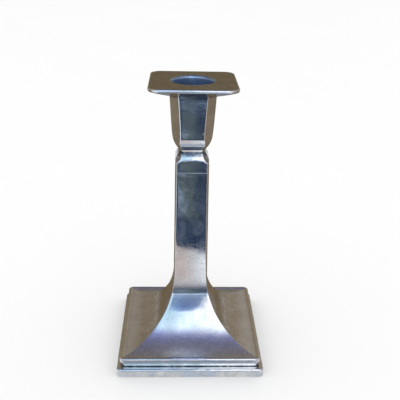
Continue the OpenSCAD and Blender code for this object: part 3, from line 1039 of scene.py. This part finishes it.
def make_window_card():
    """A tall blue shape in front, as the silver sees it."""
    distance = 0.62
    outline = [
        (-0.018, -0.001), (0.044, -0.001), (0.040, 0.060), (0.036, 0.105), (0.033, 0.150),
        (0.032, 0.195), (0.029, 0.235), (0.023, 0.270), (0.014, 0.302), (0.003, 0.322),
        (-0.008, 0.314), (-0.015, 0.280), (-0.018, 0.150),
    ]
    card = polygon("window_card", [(x, -distance, z) for x, z in outline])
    mat, tree, glow = glow_material("window_card")
    blue = ramp(tree, coordinates(tree, "Object")[2], [
        (0.02, (0.34, 0.48, 0.72)), (0.09, (0.20, 0.30, 0.52)), (0.20, (0.17, 0.27, 0.58)),
        (0.33, (0.32, 0.52, 0.92)),
    ])
    uneven = noise_value(tree, mapping(tree, (0.06, 0.05, 0.02)), 1, 2, 0.5)
    blue = mix_colour(tree, 1.0, blue, ramp(tree, uneven, [(0.35, 0.75), (0.65, 1.0)]), "MULTIPLY")
    tree.links.new(blue, glow.inputs["Color"])
    card.data.materials.append(mat)
    only_in_reflections(card)


def make_camera():
    """The viewpoint: close to the object, looking down, turned a little to the right and rolled."""
    at = Vector((-7.475, -334.78, 232.72)) * MM
    pan, tilt, roll = math.radians(2.261), math.radians(22.895), math.radians(1.302)
    forward = Vector((math.sin(pan) * math.cos(tilt), math.cos(pan) * math.cos(tilt), -math.sin(tilt)))
    level = Vector((math.cos(pan), -math.sin(pan), 0))
    upright = level.cross(forward)
    right = math.cos(roll) * level + math.sin(roll) * upright
    up = -math.sin(roll) * level + math.cos(roll) * upright
    camera = bpy.data.objects.new("camera", bpy.data.cameras.new("camera"))
    camera.matrix_world = Matrix((
        (right.x, up.x, -forward.x, at.x),
        (right.y, up.y, -forward.y, at.y),
        (right.z, up.z, -forward.z, at.z),
        (0, 0, 0, 1),
    ))
    camera.data.sensor_width = 36
    camera.data.lens = 57.3759
    camera.data.shift_x = -0.0033
    camera.data.clip_start = 0.01
    bpy.context.scene.collection.objects.link(camera)
    bpy.context.scene.camera = camera


def front_room(tree, dx, height):
    """The bright front of the room: light blue, white on the right, duller to both sides, and a
    blue upper part that starts higher on the right."""
    across = add(tree, dx, 0.5)
    bright = mix_colour(tree, rise(tree, across, 0.505, 0.545), (0.62, 0.92, 1.15), (1.5, 1.6, 1.7))
    upper = ramp(tree, height, [
        (0.93, (0.36, 0.54, 1.05)), (0.965, (0.22, 0.27, 0.68)), (1.0, (0.12, 0.12, 0.38)),
    ])
    top_edge = subtract(tree, height, ramp(tree, across, [(0.53, 0), (0.56, 0.035)]))
    bright = mix_colour(tree, rise(tree, absolute(tree, dx), 0.20, 0.42), bright, (0.66, 0.70, 0.74))
    return mix_colour(tree, rise(tree, top_edge, 0.905, 0.950), bright, upper)


def back_room(tree, dx, height):
    """The brown back of the room, lighter to the sides, with a low window at each side."""
    wide = absolute(tree, dx)
    across = add(tree, dx, 0.5)
    back = ramp(tree, height, [
        (0.40, (0.15, 0.12, 0.075)), (0.55, (0.15, 0.12, 0.078)), (0.66, (0.19, 0.155, 0.10)),
        (0.80, (0.22, 0.18, 0.12)), (0.93, (0.13, 0.12, 0.14)), (1.0, (0.10, 0.10, 0.28)),
    ])
    side_light = ramp(tree, across, [(0.40, (0.088, 0.078, 0.068)), (0.60, (0.150, 0.140, 0.130))])
    lighter = mix_colour(tree, 1.0, back, side_light, "ADD")
    back = mix_colour(tree, rise(tree, wide, 0.08, 0.25), back, lighter)
    back = mix_colour(tree, rise(tree, wide, 0.60, 0.72), back, (0.155, 0.140, 0.125))
    window = multiply(tree, rise(tree, wide, 0.66, 0.74), band(tree, height, (0.51, 0.525, 0.60, 0.63)))
    return mix_colour(tree, window, back, (0.74, 0.76, 0.79))


def make_world():
    """White to the camera and for soft light, and a room in the reflections.
    Directions run from -1 to 1, and height and facing run from 0 to 1."""
    world = bpy.data.worlds.new("studio")
    bpy.context.scene.world = world
    world.use_nodes = True
    tree = world.node_tree
    tree.nodes.clear()
    output = tree.nodes.new("ShaderNodeOutputWorld")
    dx, dy, dz = coordinates(tree, "Generated")
    height = math_node(tree, "MULTIPLY_ADD", dz, 0.5, 0.5)
    facing = math_node(tree, "MULTIPLY_ADD", dy, -0.5, 0.5)
    room = mix_colour(
        tree, rise(tree, facing, 0.45, 0.75), back_room(tree, dx, height), front_room(tree, dx, height)
    )
    light_path = tree.nodes.new("ShaderNodeLightPath")
    room_light = tree.nodes.new("ShaderNodeBackground")
    tree.links.new(room, room_light.inputs["Color"])
    soft_light = tree.nodes.new("ShaderNodeBackground")
    soft_light.inputs["Color"].default_value = (1, 1, 1, 1)
    soft_light.inputs["Strength"].default_value = 1.1
    choose = tree.nodes.new("ShaderNodeMixShader")
    tree.links.new(light_path.outputs["Is Glossy Ray"], choose.inputs[0])
    tree.links.new(soft_light.outputs[0], choose.inputs[1])
    tree.links.new(room_light.outputs[0], choose.inputs[2])
    tree.links.new(choose.outputs[0], output.inputs[0])


make_floor()
make_table_card()
make_camera()
make_window_card()
make_world()
bpy.context.scene.view_settings.view_transform = "Standard"
